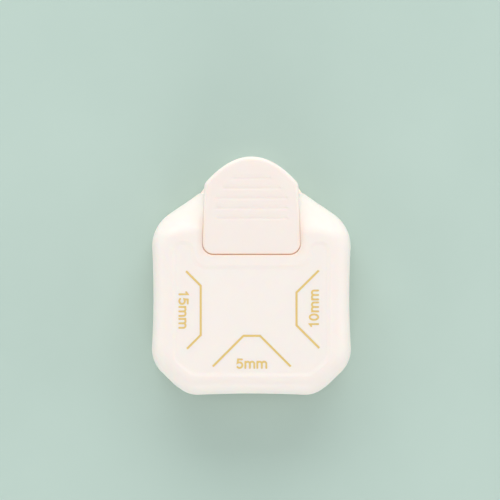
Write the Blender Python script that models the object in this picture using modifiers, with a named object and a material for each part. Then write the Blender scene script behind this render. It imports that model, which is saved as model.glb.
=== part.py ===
"""Three-way corner rounder: a palm-sized punch with three paper slots, one for each corner radius.

The part stands on its base with +Z up and +Y towards the thumb lever. X = 0 is the middle of its width,
Y = 0 the middle of its length and Z = 0 the underside. Numbers here are millimetres and degrees. The helpers
turn them into Blender's metres, so that every named size can be read off a ruler.
"""

import math

import bmesh
import bpy
from mathutils import Matrix, Vector

MM = 0.001

# Overall size. The sharp corners of the case's outline lie a little outside its rounded ones.
CORNER_X = 42.74
CORNER_FRONT = -51.47
LEVER_TIP_Y = 51.3
COVER_TOP = 40.0

# Clearances
SEAT_GAP = 0.2
PLATE_GAP = 0.1
PIN_GAP = 0.1
LEVER_GAP = 0.5
FRAME_END_Y = 7.2
BULKHEAD_HIGH = 28.0

# Levels, from the table up
BASE_LOW = 0.3
BASE_PLATE_HIGH = 3.0
DECK_HIGH = 13.0
DECK_THICK = 2.0
TONGUE_HIGH = 10.0
DIE_THICK = 2.0
SLOT_HIGH = 15.0
GUIDE_THICK = 1.5
FRAME_HIGH = 19.0
PUNCH_LOW = 15.3
PUNCH_LENGTH = 14.0
CARRIER_THICK = 4.0

# Skins
WALL = 2.0
COVER_RIM = 8.0
PANEL_DEPTH = 0.4

# The paper corners that the three slots take: corner radius, place of the corner's tip, way out of the slot
SLOT_Y = -14.3
PUNCHES = {
    "r15": {"radius": 15.0, "tip": (-11.2, SLOT_Y), "out": (-1, 0)},
    "r10": {"radius": 10.0, "tip": (12.5, SLOT_Y), "out": (1, 0)},
    "r5": {"radius": 5.0, "tip": (0.0, -22.0), "out": (0, -1)},
}
PUNCH_MARGIN = 1.5

# Lever
PIVOT_Y = -38.0
PIVOT_Z = 31.0
PIN_RADIUS = 1.5
SEAM_Y = 9.2
NOTCH_HALF = 21.2
LEVER_SLOPE = 10.2
LEVER_SKIN = 2.3
SKIRT_LOW = 27.9
ARM_IN = 23.0
ARM_OUT = 25.6
RING_X = (25.95, 26.45)
PRESS_Y = -14.0
GROOVE_ROWS = ((42.5, 8.6), (38.25, 12.7), (34.0, 15.6), (29.75, 15.6), (25.5, 15.6))
GROOVE_WIDTH = 1.7
GROOVE_DEPTH = 0.5

# Carrier, posts and springs
POST_RADIUS = 1.5
POST_YS = (-31.5, 0.5)
POST_BOSS_RADIUS = 2.3
SPRING_MEAN_RADIUS = 3.1
SPRING_WIRE_RADIUS = 0.35
SPRING_TURNS = 6
SPRING_SEAT_RADIUS = 3.9

# Die plate and its seat in the base
PLATE_X = (-27.0, 25.0)
PLATE_Y = (-34.0, 5.0)
CHAMBER_X = (-23.5, 21.5)
CHAMBER_Y = (-27.5, -0.8)

# Fasteners
CASE_SCREWS = {
    "front_left": (-29.5, -42.2),
    "front_right": (29.5, -42.2),
    "rear_left": (-33.0, 20.0),
    "rear_right": (33.0, 20.0),
}
PLATE_SCREWS = {
    "front_left": (-17.0, -31.0),
    "front_right": (17.0, -31.0),
    "rear_left": (-14.0, 2.3),
    "rear_right": (14.0, 2.3),
}

# Chip door in the underside
DOOR_HALF = 24.9
DOOR_PAD_HALF = 21.7
DOOR_Y = (-50.0, 3.9)

CARRIER_LOW = PUNCH_LOW + PUNCH_LENGTH + PLATE_GAP
CARRIER_HIGH = CARRIER_LOW + CARRIER_THICK
FRONT = ("front_left", "front_right")
PARTS = "corner_rounder"
CUTTERS = "cutters"


# ---------------------------------------------------------------- outlines

def mirrored(right_half):
    """A closed outline, anticlockwise, from its corners at X >= 0 listed front to back."""
    left = [(-x, y, r) for x, y, r in reversed(right_half) if x > 0]
    return right_half + left


def dome(half_width, y_side, y_tip, steps=7):
    """Corners of a parabola from its right end to its tip, as radius-free points."""
    points = []
    for i in range(steps + 1):
        x = half_width * (1 - i / steps)
        points.append((x, y_tip - (y_tip - y_side) * (x / half_width) ** 2, 0.0))
    return points


def body_corners():
    """The case's octagon, with sides that draw in a little along the three slots."""
    return [
        (0.0, -50.4, 500.0),
        (26.9, CORNER_FRONT, 12.0),
        (CORNER_X, -37.7, 12.0),
        (42.0, -10.0, 800.0),
        (CORNER_X, 21.7, 16.0),
    ]


def cover_outline():
    return mirrored(body_corners() + [(23.0, 35.6, 14.0)])


def base_outline():
    """The base has the case's octagon and a tongue under the lever."""
    tongue = [(20.1, 37.6, 2.5)] + dome(19.6, 39.9, LEVER_TIP_Y - 0.6)
    return mirrored(body_corners() + tongue)


def lever_outline():
    front = [(20.7, SEAM_Y + LEVER_GAP, 3.6)]
    return mirrored(front + dome(19.9, 39.6, LEVER_TIP_Y))


def panel_outline():
    """The shallow panel in the cover's top, with a horn up each side of the lever."""
    right = [(25.3, -42.4, 6.0), (33.2, -36.0, 6.0), (33.2, 14.3, 3.0), (25.2, 14.3, 3.0), (25.2, 3.8, 6.0)]
    return mirrored(right)


def shifted(corners, inset):
    """The corners of the outline moved inwards, with their radii changed to match."""
    moved = []
    count = len(corners)
    for i, (x, y, radius) in enumerate(corners):
        before = Vector(corners[i - 1][:2])
        here = Vector((x, y))
        after = Vector(corners[(i + 1) % count][:2])
        d_in = (here - before).normalized()
        d_out = (after - here).normalized()
        n_in = Vector((-d_in.y, d_in.x))
        n_out = Vector((-d_out.y, d_out.x))
        place = here + (n_in + n_out) * inset / (1 + n_in.dot(n_out))
        turn = d_in.x * d_out.y - d_in.y * d_out.x
        if radius > 0:
            radius = max(radius - math.copysign(inset, turn), 0.3)
        moved.append((place.x, place.y, radius))
    return moved


def rounded(corners, inset=0.0, step=15.0):
    """Points along the outline, with an arc of the stated radius at each corner."""
    corners = shifted(corners, inset) if inset else corners
    points = []
    count = len(corners)
    for i, (x, y, radius) in enumerate(corners):
        here = Vector((x, y))
        if radius <= 0:
            points.append(here)
            continue
        d_in = (here - Vector(corners[i - 1][:2])).normalized()
        d_out = (Vector(corners[(i + 1) % count][:2]) - here).normalized()
        turn = math.atan2(d_in.x * d_out.y - d_in.y * d_out.x, d_in.dot(d_out))
        reach = radius * math.tan(abs(turn) / 2)
        start = here - d_in * reach
        centre = start + Vector((-d_in.y, d_in.x)) * math.copysign(radius, turn)
        spokes = max(2, math.ceil(abs(math.degrees(turn)) / step))
        for k in range(spokes + 1):
            angle = turn * k / spokes
            points.append(centre + Matrix.Rotation(angle, 2) @ (start - centre))
    return points


def punch_section(key, grow=0.0, arc_steps=10):
    """A punch's section: a block whose outer side is hollowed to the corner radius, larger by grow."""
    spec = PUNCHES[key]
    radius = spec["radius"]
    out = Vector(spec["out"])
    side = Vector((-out.y, out.x))
    half = radius / math.sqrt(2)
    width = half + PUNCH_MARGIN + grow
    local = [(-PUNCH_MARGIN - grow, -width), (half + grow / math.sqrt(2), -width)]
    for i in range(arc_steps + 1):
        angle = math.radians(225 - 90 * i / arc_steps)
        across = (radius - grow) * math.sin(angle)
        local.append((radius * math.sqrt(2) + (radius - grow) * math.cos(angle), across))
    local += [(half + grow / math.sqrt(2), width), (-PUNCH_MARGIN - grow, width)]
    tip = Vector(spec["tip"])
    return [tip + out * u + side * v for u, v in local]


def slot_wedge(key, reach=70.0):
    """The right-angled wedge that a sheet's corner fills when it is pushed home in a slot."""
    spec = PUNCHES[key]
    tip, out = Vector(spec["tip"]), Vector(spec["out"])
    side = Vector((-out.y, out.x))
    return [tip, tip + (out - side) * reach, tip + (out + side) * reach]


def screw_place(key):
    """Where the screw goes into a punch: the middle of the steel behind the hollow."""
    spec = PUNCHES[key]
    thin_side = spec["radius"] * (math.sqrt(2) - 1)
    return Vector(spec["tip"]) + Vector(spec["out"]) * (thin_side - PUNCH_MARGIN) / 2


# ---------------------------------------------------------------- scene and materials

def start_scene():
    for obj in list(bpy.data.objects):
        bpy.data.objects.remove(obj)
    for name in (PARTS, CUTTERS):
        bpy.context.scene.collection.children.link(bpy.data.collections.new(name))
    bpy.data.collections[CUTTERS].hide_render = True


def make_material(name, colour, roughness, metallic=0.0):
    material = bpy.data.materials.new(name)
    material.use_nodes = True
    shader = material.node_tree.nodes["Principled BSDF"]
    shader.inputs["Base Color"].default_value = (*colour, 1.0)
    shader.inputs["Roughness"].default_value = roughness
    shader.inputs["Metallic"].default_value = metallic
    material.diffuse_color = (*colour, 1.0)
    return material


def as_part(obj, material):
    obj.data.materials.clear()
    obj.data.materials.append(material)
    obj.data.shade_smooth()
    obj.data.set_sharp_from_angle(angle=math.radians(35))
    return obj


def as_helper(obj):
    for collection in list(obj.users_collection):
        collection.objects.unlink(obj)
    bpy.data.collections[CUTTERS].objects.link(obj)
    obj.hide_render = True
    obj.display_type = "WIRE"
    return obj


def combine(target, operation, helpers):
    for helper in helpers:
        as_helper(helper)
        modifier = target.modifiers.new(f"{operation.lower()}_{helper.name}", "BOOLEAN")
        modifier.operation = operation
        modifier.solver = "EXACT"
        modifier.object = helper
    return target


def cut(target, *helpers):
    return combine(target, "DIFFERENCE", helpers)


def join(target, *helpers):
    return combine(target, "UNION", helpers)


# ---------------------------------------------------------------- solids

def mesh_object(name, bm):
    bmesh.ops.recalc_face_normals(bm, faces=bm.faces)
    mesh = bpy.data.meshes.new(name)
    bm.to_mesh(mesh)
    bm.free()
    obj = bpy.data.objects.new(name, mesh)
    bpy.data.collections[PARTS].objects.link(obj)
    return obj


def curve_to_mesh(curve_object):
    """The curve's solid as a welded mesh object of the same name. The curve itself is removed."""
    bpy.context.view_layer.update()
    evaluated = curve_object.evaluated_get(bpy.context.evaluated_depsgraph_get())
    made = bpy.data.meshes.new_from_object(evaluated)
    name, matrix = curve_object.name, curve_object.matrix_world.copy()
    bpy.data.objects.remove(curve_object)
    bm = bmesh.new()
    bm.from_mesh(made)
    bpy.data.meshes.remove(made)
    bmesh.ops.remove_doubles(bm, verts=bm.verts, dist=1e-7)
    bmesh.ops.dissolve_limit(bm, angle_limit=math.radians(0.05), verts=bm.verts, edges=bm.edges)
    bmesh.ops.transform(bm, matrix=matrix, verts=bm.verts)
    return bm, name


def flat_curve(name, points, thickness, matrix):
    curve = bpy.data.curves.new(name, "CURVE")
    curve.dimensions = "2D"
    curve.fill_mode = "BOTH"
    curve.extrude = thickness / 2 * MM
    spline = curve.splines.new("POLY")
    spline.points.add(len(points) - 1)
    for slot, point in zip(spline.points, points):
        slot.co = (point[0] * MM, point[1] * MM, 0, 1)
    spline.use_cyclic_u = True
    obj = bpy.data.objects.new(name, curve)
    obj.matrix_world = matrix
    bpy.data.collections[PARTS].objects.link(obj)
    return curve_to_mesh(obj)


def rim_edges(bm, upward):
    """The edges between a wall and the face that closes the solid above it, or below it."""
    found = []
    for edge in bm.edges:
        if len(edge.link_faces) != 2:
            continue
        lean = sorted(face.normal.z * upward for face in edge.link_faces)
        if lean[1] > 0.5 and abs(lean[0]) < 0.2:
            found.append(edge)
    return found


def slab(name, points, low, high, bend=None, top_rim=None, low_rim=None):
    """An upright solid over an outline. A rim is (radius, segments). A bend, as (y, rise), shifts its top."""
    lift = Matrix.Translation((0, 0, (low + high) / 2 * MM))
    bm, name = flat_curve(name, points, high - low, lift)
    bm.normal_update()
    for rim, upward in ((top_rim, 1), (low_rim, -1)):
        if rim:
            bmesh.ops.bevel(
                bm, geom=rim_edges(bm, upward), offset=rim[0] * MM, offset_type="OFFSET",
                segments=rim[1], profile=0.5, affect="EDGES", clamp_overlap=False,
            )
    for y, _ in bend or []:
        everything = bm.verts[:] + bm.edges[:] + bm.faces[:]
        bmesh.ops.bisect_plane(bm, geom=everything, plane_co=(0, y * MM, 0), plane_no=(0, 1, 0), dist=1e-7)
    for vert in bm.verts:
        if bend and vert.co.z > (low + high) / 2 * MM:
            vert.co.z += rise_at(bend, vert.co.y / MM) * MM
    return mesh_object(name, bm)


def rise_at(bend, y):
    """How far a bent top has risen at y: straight between the stations, and on past the end ones."""
    for (y0, z0), (y1, z1) in zip(bend, bend[1:]):
        if y <= y1 or (y1, z1) == bend[-1]:
            return z0 + (z1 - z0) * (y - y0) / (y1 - y0)
    return bend[0][1]


def cross_slab(name, profile, x_low, x_high):
    """A solid with one section, given as (y, z) points, all along X."""
    turn = Matrix(((0, 0, 1, 0), (1, 0, 0, 0), (0, 1, 0, 0), (0, 0, 0, 1)))
    lift = Matrix.Translation(((x_low + x_high) / 2 * MM, 0, 0))
    bm, name = flat_curve(name, profile, x_high - x_low, lift @ turn)
    return mesh_object(name, bm)


def eye_arc(start, end, radius=4.0, spokes=8):
    """Points, as (y, z), round the lever's pin from one angle to another."""
    angles = [math.radians(start + (end - start) * i / spokes) for i in range(spokes + 1)]
    return [(PIVOT_Y + radius * math.cos(a), PIVOT_Z + radius * math.sin(a)) for a in angles]


def block(name, x, y, z):
    """A box between the low and high values of x, y and z."""
    bm = bmesh.new()
    bmesh.ops.create_cube(bm, size=1.0)
    size = Vector((x[1] - x[0], y[1] - y[0], z[1] - z[0])) * MM
    centre = Vector((x[0] + x[1], y[0] + y[1], z[0] + z[1])) / 2 * MM
    bmesh.ops.scale(bm, vec=size, verts=bm.verts)
    bmesh.ops.translate(bm, vec=centre, verts=bm.verts)
    return mesh_object(name, bm)


def rod(name, radius, start, end, segments=24, end_radius=None):
    """A round bar, or a cone if its end radius differs, from one point to another."""
    a, b = Vector(start), Vector(end)
    bm = bmesh.new()
    bmesh.ops.create_cone(
        bm, cap_ends=True, segments=segments, radius1=radius * MM,
        radius2=(radius if end_radius is None else end_radius) * MM, depth=(b - a).length * MM,
    )
    turn = Vector((0, 0, 1)).rotation_difference(b - a).to_matrix().to_4x4()
    bmesh.ops.transform(bm, matrix=Matrix.Translation((a + b) / 2 * MM) @ turn, verts=bm.verts)
    return mesh_object(name, bm)


def post(name, radius, place, low, high, segments=24, end_radius=None):
    """A round bar standing on end at a place in plan."""
    return rod(name, radius, (*place, low), (*place, high), segments, end_radius)


def at_posts(name, radius, low, high):
    """A round bar on each guide post's axis."""
    return [post(f"{name}_{i}", radius, (0, y), low, high, 20) for i, y in enumerate(POST_YS)]


def widened(span):
    """A plate's low and high values with the gap round it."""
    return (span[0] - PLATE_GAP, span[1] + PLATE_GAP)


def turned(name, place, profile, segments=16):
    """A solid of revolution standing at a place in plan. The profile is (radius, z) points, top down."""
    mesh = bpy.data.meshes.new(name)
    points = [(radius * MM, 0, z * MM) for radius, z in profile]
    mesh.from_pydata(points, [(i, i + 1) for i in range(len(points) - 1)], [])
    obj = bpy.data.objects.new(name, mesh)
    obj.location = Vector((*place, 0)) * MM
    bpy.data.collections[PARTS].objects.link(obj)
    spin = obj.modifiers.new("turn", "SCREW")
    spin.steps = segments
    spin.render_steps = segments
    spin.use_merge_vertices = True
    spin.merge_threshold = 0.00001
    spin.use_smooth_shade = False
    return obj


def screw(name, material, place, head_low, head_radius, head_height, shank_radius, tip):
    """A pan-head screw driven upwards, or downwards if its tip is below its head, with a hex socket."""
    up = 1 if tip > head_low else -1
    crown = head_radius * 0.2
    profile = [
        (0, head_low), (head_radius - crown, head_low), (head_radius, head_low + up * crown),
        (head_radius, head_low + up * head_height), (shank_radius, head_low + up * head_height),
        (shank_radius, tip - up * shank_radius), (shank_radius * 0.4, tip), (0, tip),
    ]
    body = turned(name, place, profile[::-up])
    depth = up * head_height * 0.6
    socket = post(f"{name}_socket", head_radius * 0.45, place, head_low - up, head_low + depth, 6)
    cut(body, socket)
    return as_part(body, material)


def hang_on(name, place, children):
    """An empty on a moving body's axis, with the body's pieces as its children."""
    empty = bpy.data.objects.new(name, None)
    empty.location = Vector(place) * MM
    empty.empty_display_size = 10 * MM
    bpy.data.collections[PARTS].objects.link(empty)
    bpy.context.view_layer.update()
    for child in children:
        piece = bpy.data.objects[child]
        piece.parent = empty
        piece.matrix_parent_inverse = empty.matrix_world.inverted()


# ---------------------------------------------------------------- the pieces

def cover_bend():
    """The cover's top from front to back: a flat plateau that rolls over into the rear slope."""
    fall = math.tan(math.radians(28.6))
    y_flat, y_steep = 15.5, 21.5
    bend = [(-60.0, 0.0), (y_flat, 0.0)]
    for i in (1, 2, 3):
        y = y_flat + (y_steep - y_flat) * i / 3
        bend.append((y, -fall * (y - y_flat) ** 2 / (2 * (y_steep - y_flat))))
    last_y, last_rise = bend[-1]
    bend.append((60.0, last_rise - fall * (60.0 - last_y)))
    return bend


def make_cover(plastic):
    """The top shell, with the lever's notch, a bulkhead behind it, screw bosses and post sockets."""
    low = DECK_HIGH + SEAT_GAP
    cover = slab("upper_cover", rounded(cover_outline()), low, COVER_TOP, cover_bend(), (COVER_RIM, 5))
    inside = rounded(cover_outline(), WALL)
    hollow = slab("cover_hollow", inside, low - 2, COVER_TOP - WALL, cover_bend(), (COVER_RIM - WALL, 4))
    bosses = []
    for key, place in CASE_SCREWS.items():
        foot = SLOT_HIGH + PLATE_GAP if place[1] < 0 else low
        bosses.append(post(f"cover_boss_{key}", 3.1, place, foot, COVER_TOP + 5, 16))
    sockets = [post(f"post_socket_{i}", 3.0, (0, y), 34.8, COVER_TOP + 5, 20) for i, y in enumerate(POST_YS)]
    walls = []
    for i, side in enumerate((-1, 1)):
        wall_x = sorted((side * 20.0, side * 22.9))
        walls.append(block(f"well_wall_{i}", wall_x, (SEAM_Y, 50.0), (20.0, COVER_TOP + 5)))
    cut(hollow, *bosses, *sockets, *walls)
    notch_corners = mirrored([(NOTCH_HALF, SEAM_Y, 4.0), (NOTCH_HALF, 70.0, 0.0)])
    notch = slab("notch", rounded(notch_corners), BULKHEAD_HIGH, 60.0)
    ways = []
    for i, side in enumerate((-1, 1)):
        way_x = sorted((side * 17.3, side * NOTCH_HALF))
        ways.append(block(f"skirt_way_{i}", way_x, (SEAM_Y, 70.0), (low + 0.4, 60.0)))
    panel = slab("panel_recess", rounded(panel_outline()), COVER_TOP - PANEL_DEPTH, COVER_TOP + 2)
    wedges = [slab(f"mouth_{key}", slot_wedge(key), low - 1, SLOT_HIGH) for key in PUNCHES]
    pilots = [post(f"pilot_{k}", 1.5, p, low - 1, 26.0, 14) for k, p in CASE_SCREWS.items()]
    post_holes = at_posts("post_hole", POST_RADIUS + PIN_GAP, 30.0, 36.6)
    cut(cover, hollow, notch, *ways, panel, *wedges, *pilots, *post_holes)
    return as_part(cover, plastic)


def make_base(plastic):
    """The lower shell: a deck that the paper slides on, a well for chips and the tongue under the lever."""
    base = slab("lower_body", rounded(base_outline()), BASE_LOW, DECK_HIGH, None, (0.6, 1), (1.0, 2))
    lower_tongue = block("tongue_drop", (-30, 30), (36.0, 60), (TONGUE_HIGH, 20))
    inside_low = BASE_PLATE_HIGH + SEAT_GAP
    hollow = slab("base_hollow", rounded(cover_outline(), WALL), -2.0, DECK_HIGH - DECK_THICK)
    seat = block(
        "die_seat", (PLATE_X[0] - 2.5, PLATE_X[1] + 2.5), (PLATE_Y[0] - 2.5, PLATE_Y[1] + 2.5),
        (inside_low, DECK_HIGH),
    )
    bosses = [post(f"base_boss_{k}", 3.3, p, inside_low, DECK_HIGH, 16) for k, p in CASE_SCREWS.items()]
    cut(hollow, seat, *bosses)
    tongue_hollow = slab("tongue_hollow", rounded(base_outline(), WALL), -2.0, TONGUE_HIGH - DECK_THICK)
    front_part = block("tongue_hollow_front", (-50, 50), (-60, 22.0), (-5, 20))
    cut(tongue_hollow, front_part)
    recess = block(
        "die_recess", widened(PLATE_X), widened(PLATE_Y),
        (DECK_HIGH - DIE_THICK - PLATE_GAP, DECK_HIGH + 2),
    )
    chamber = block("chip_chamber", CHAMBER_X, CHAMBER_Y, (-2, DECK_HIGH + 2))
    door_way = block("door_way", (-DOOR_HALF - 0.3, DOOR_HALF + 0.3), (-60, -45), (-2, inside_low))
    holes = [post(f"base_hole_{k}", 1.6, p, 0, DECK_HIGH + 2, 14) for k, p in CASE_SCREWS.items()]
    plate_holes = [post(f"seat_hole_{k}", 1.5, p, 0, DECK_HIGH, 14) for k, p in PLATE_SCREWS.items()]
    head_holes = [post(f"seat_bore_{k}", 2.8, p, 0, 8.4, 16) for k, p in PLATE_SCREWS.items()]
    cut(base, lower_tongue, hollow, tongue_hollow, recess, chamber, door_way, *holes, *plate_holes, *head_holes)
    return as_part(base, plastic)


def make_base_plate(plastic):
    """The underside plate, open to the front where the chip door runs."""
    plate = slab("base_plate", rounded(base_outline(), WALL + SEAT_GAP), 0.0, BASE_PLATE_HIGH)
    window = block("door_window", (-22, 22), (-60, 2), (-1, 5))
    groove = block("door_groove", (-DOOR_HALF - 0.3, DOOR_HALF + 0.3), (-60, DOOR_Y[1] + 0.3), (1.0, 5))
    holes = [post(f"plate_hole_{k}", 1.6, p, -1, 5, 14) for k, p in CASE_SCREWS.items()]
    bores = [post(f"plate_bore_{k}", 3.0, p, -1, 2.1, 16) for k, p in CASE_SCREWS.items()]
    cut(plate, window, groove, *holes, *bores)
    return as_part(plate, plastic)


def make_chip_door(plastic):
    """The sliding door under the chip well: a pad flush with the underside between two thin side runners."""
    door = block("chip_door", (-DOOR_HALF, DOOR_HALF), DOOR_Y, (1.3, 2.7))
    pad = block("door_pad", (-DOOR_PAD_HALF, DOOR_PAD_HALF), (DOOR_Y[0], 1.7), (0.5, 2.2))
    join(door, pad)
    rows = (-46.0, -43.6, -41.2)
    ribs = [rod(f"door_grip_{i}", 0.6, (-9, y, 0.5), (9, y, 0.5), 10) for i, y in enumerate(rows)]
    cut(door, *ribs)
    return as_part(door, plastic)


def plate_with_windows(name, low, high, grow):
    """A plate over the die area with the three punch windows and the screw holes."""
    (left, right), (front, rear) = PLATE_X, PLATE_Y
    corners = [(left, front, 2), (right, front, 2), (right, rear, 2), (left, rear, 2)]
    plate = slab(name, rounded(corners, 0.0, 30.0), low, high)
    windows = [slab(f"{name}_window_{key}", punch_section(key, grow), low - 1, high + 1) for key in PUNCHES]
    holes = [post(f"{name}_hole_{k}", 1.5, p, low - 1, high + 1, 14) for k, p in PLATE_SCREWS.items()]
    cut(plate, *windows, *holes)
    return plate


def make_paper_guide(plastic):
    """The spacer whose three right-angled notches stop the sheet's two edges."""
    low, high = DECK_HIGH + PLATE_GAP, SLOT_HIGH - PLATE_GAP
    guide = slab("paper_guide", rounded(cover_outline(), WALL + SEAT_GAP), low, high)
    behind = block("guide_end", (-50, 50), (FRAME_END_Y, 60), (10, 30))
    wedges = [slab(f"guide_notch_{key}", slot_wedge(key), low - 1, high + 1) for key in PUNCHES]
    windows = [slab(f"guide_window_{key}", punch_section(key, 0.4), low - 1, high + 1) for key in PUNCHES]
    holes = [post(f"guide_hole_{k}", 1.5, p, low - 1, high + 1, 14) for k, p in PLATE_SCREWS.items()]
    bores = [post(f"guide_bore_{k}", 1.6, CASE_SCREWS[k], low - 1, high + 1, 16) for k in FRONT]
    cut(guide, behind, *wedges, *windows, *holes, *bores)
    return as_part(guide, plastic)


def make_inner_frame(plastic):
    """The moulding over the slots: it holds the stripper plate, the posts and the lever's two ears."""
    frame = slab("inner_frame", rounded(cover_outline(), WALL + SEAT_GAP), SLOT_HIGH, FRAME_HIGH)
    behind = block("frame_end", (-50, 50), (FRAME_END_Y, 60), (10, 30))
    cut(frame, behind)
    ears = []
    for i, side in enumerate((-1, 1)):
        x = sorted((side * 19.6, side * 22.7))
        foot = [(PIVOT_Y - 4, FRAME_HIGH - 1), (PIVOT_Y + 6, FRAME_HIGH - 1)]
        ears.append(cross_slab(f"ear_{i}", foot + eye_arc(0, 180), *x))
    seats = at_posts("spring_seat", SPRING_SEAT_RADIUS, FRAME_HIGH - 1, FRAME_HIGH + 1)
    post_bosses = at_posts("post_boss", POST_BOSS_RADIUS, FRAME_HIGH - 1.5, 22.0)
    join(frame, *ears)
    recess = block(
        "stripper_recess", widened(PLATE_X), widened(PLATE_Y),
        (SLOT_HIGH - 2, SLOT_HIGH + GUIDE_THICK + PLATE_GAP),
    )
    cut(frame, *seats, recess)
    join(frame, *post_bosses)
    pin_hole = rod("ear_hole", PIN_RADIUS + PIN_GAP, (-30, PIVOT_Y, PIVOT_Z), (30, PIVOT_Y, PIVOT_Z), 20)
    windows = [
        slab(f"frame_window_{key}", punch_section(key, 0.5), SLOT_HIGH - 1, FRAME_HIGH + 1) for key in PUNCHES
    ]
    low = SLOT_HIGH - 1
    holes = [post(f"frame_hole_{k}", 1.4, p, low, FRAME_HIGH - 0.4, 14) for k, p in PLATE_SCREWS.items()]
    bores = [post(f"frame_bore_{k}", 3.4, CASE_SCREWS[k], low, FRAME_HIGH + 1, 16) for k in FRONT]
    posts = at_posts("frame_post", POST_RADIUS + PIN_GAP, FRAME_HIGH - 2.3, 24)
    cut(frame, pin_hole, *windows, *holes, *bores, *posts)
    return as_part(frame, plastic)


def make_punch(key, steel):
    """One moving blade. Its cutting face is ground hollow, so that it shears from both ends inwards."""
    name = f"punch_{key}"
    punch = slab(name, punch_section(key), PUNCH_LOW, PUNCH_LOW + PUNCH_LENGTH)
    spec = PUNCHES[key]
    side = Vector((-spec["out"][1], spec["out"][0]))
    half = spec["radius"] / math.sqrt(2) + PUNCH_MARGIN
    for vert in punch.data.vertices:
        if vert.co.z < (PUNCH_LOW + 1) * MM:
            across = abs((Vector(vert.co[:2]) / MM - Vector(spec["tip"])).dot(side)) / half
            vert.co.z += 0.6 * (1 - across) * MM
    hole = post(f"{name}_hole", 1.0, screw_place(key), PUNCH_LOW + PUNCH_LENGTH - 6, 40, 12)
    cut(punch, hole)
    return as_part(punch, steel)


def make_carrier(plastic):
    """The slide that holds the three punches and runs on the two posts."""
    spine = [(4.5, POST_YS[0] - 4.2, 4.0), (4.5, POST_YS[1] + 4.2, 4.0)]
    carrier = slab("punch_carrier", rounded(mirrored(spine), 0.0, 30.0), CARRIER_LOW, CARRIER_HIGH)
    arms = [
        block("arm_r15", (-22.4, -9.0), (-27.0, -1.6), (CARRIER_LOW, CARRIER_HIGH)),
        block("arm_r10", (10.3, 20.2), (-23.6, -5.0), (CARRIER_LOW, CARRIER_HIGH)),
        block("arm_bridge", (-12.0, 12.0), (-22.0, -6.6), (CARRIER_LOW, CARRIER_HIGH)),
        block("arm_r5", (-5.6, 5.6), (-26.2, -18.0), (CARRIER_LOW, CARRIER_HIGH)),
    ]
    join(carrier, *arms)
    seats = at_posts("carrier_seat", SPRING_SEAT_RADIUS, CARRIER_LOW - 1, CARRIER_LOW + 1.5)
    bores = at_posts("carrier_bore", POST_RADIUS + PIN_GAP, CARRIER_LOW - 1, CARRIER_HIGH + 1)
    places = {key: screw_place(key) for key in PUNCHES}
    head_low, high = CARRIER_HIGH - 1.9, CARRIER_HIGH + 1
    heads = [post(f"carrier_head_{k}", 2.1, p, head_low, high, 16) for k, p in places.items()]
    shanks = [post(f"carrier_shank_{k}", 1.0, p, CARRIER_LOW - 1, high, 12) for k, p in places.items()]
    cut(carrier, *seats, *bores, *heads, *shanks)
    return as_part(carrier, plastic)


def make_spring(name, y, steel):
    """A compression spring round a post, its wire turning six times between its two seats."""
    low = FRAME_HIGH - 1 + SEAT_GAP + SPRING_WIRE_RADIUS
    high = CARRIER_LOW + 1.5 - SEAT_GAP - SPRING_WIRE_RADIUS
    per_turn = 12
    curve = bpy.data.curves.new(name, "CURVE")
    curve.dimensions = "3D"
    curve.bevel_depth = SPRING_WIRE_RADIUS * MM
    curve.bevel_resolution = 2
    curve.use_fill_caps = True
    spline = curve.splines.new("POLY")
    count = SPRING_TURNS * per_turn
    spline.points.add(count)
    for i in range(count + 1):
        angle = 2 * math.pi * i / per_turn
        z = low + (high - low) * i / count
        x = SPRING_MEAN_RADIUS * math.cos(angle)
        along = y + SPRING_MEAN_RADIUS * math.sin(angle)
        spline.points[i].co = (x * MM, along * MM, z * MM, 1)
    spring = bpy.data.objects.new(name, curve)
    bpy.data.collections[PARTS].objects.link(spring)
    curve.materials.append(steel)
    return spring


def make_pin(steel):
    """The lever's pin, with a head at its left end and a groove for the retaining ring at its right."""
    reach = RING_X[1] + 0.5
    pin = rod("lever_pin", PIN_RADIUS, (-reach, PIVOT_Y, PIVOT_Z), (reach, PIVOT_Y, PIVOT_Z))
    head = rod("pin_head", 2.5, (-reach - 0.1, PIVOT_Y, PIVOT_Z), (-RING_X[0], PIVOT_Y, PIVOT_Z))
    left, right = RING_X[0] - 0.05, RING_X[1] + 0.05
    groove = rod("pin_groove", 3.0, (left, PIVOT_Y, PIVOT_Z), (right, PIVOT_Y, PIVOT_Z))
    core = rod("pin_core", 1.1, (20, PIVOT_Y, PIVOT_Z), (30, PIVOT_Y, PIVOT_Z), 16)
    cut(groove, core)
    join(pin, head)
    cut(pin, groove)
    return as_part(pin, steel)


def make_pin_ring(steel):
    """The open retaining ring that snaps into the pin's groove."""
    ring = rod("pin_ring", 3.0, (RING_X[0], PIVOT_Y, PIVOT_Z), (RING_X[1], PIVOT_Y, PIVOT_Z))
    bore = rod("ring_bore", 1.2, (RING_X[0] - 1, PIVOT_Y, PIVOT_Z), (RING_X[1] + 1, PIVOT_Y, PIVOT_Z), 16)
    mouth_x = (RING_X[0] - 1, RING_X[1] + 1)
    mouth = block("ring_mouth", mouth_x, (PIVOT_Y - 0.9, PIVOT_Y + 0.9), (PIVOT_Z - 5, PIVOT_Z))
    cut(ring, bore, mouth)
    return as_part(ring, steel)


def lever_bend():
    front = SEAM_Y + LEVER_GAP
    return [(front, 0.0), (60.0, math.tan(math.radians(LEVER_SLOPE)) * (60.0 - front))]


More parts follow.
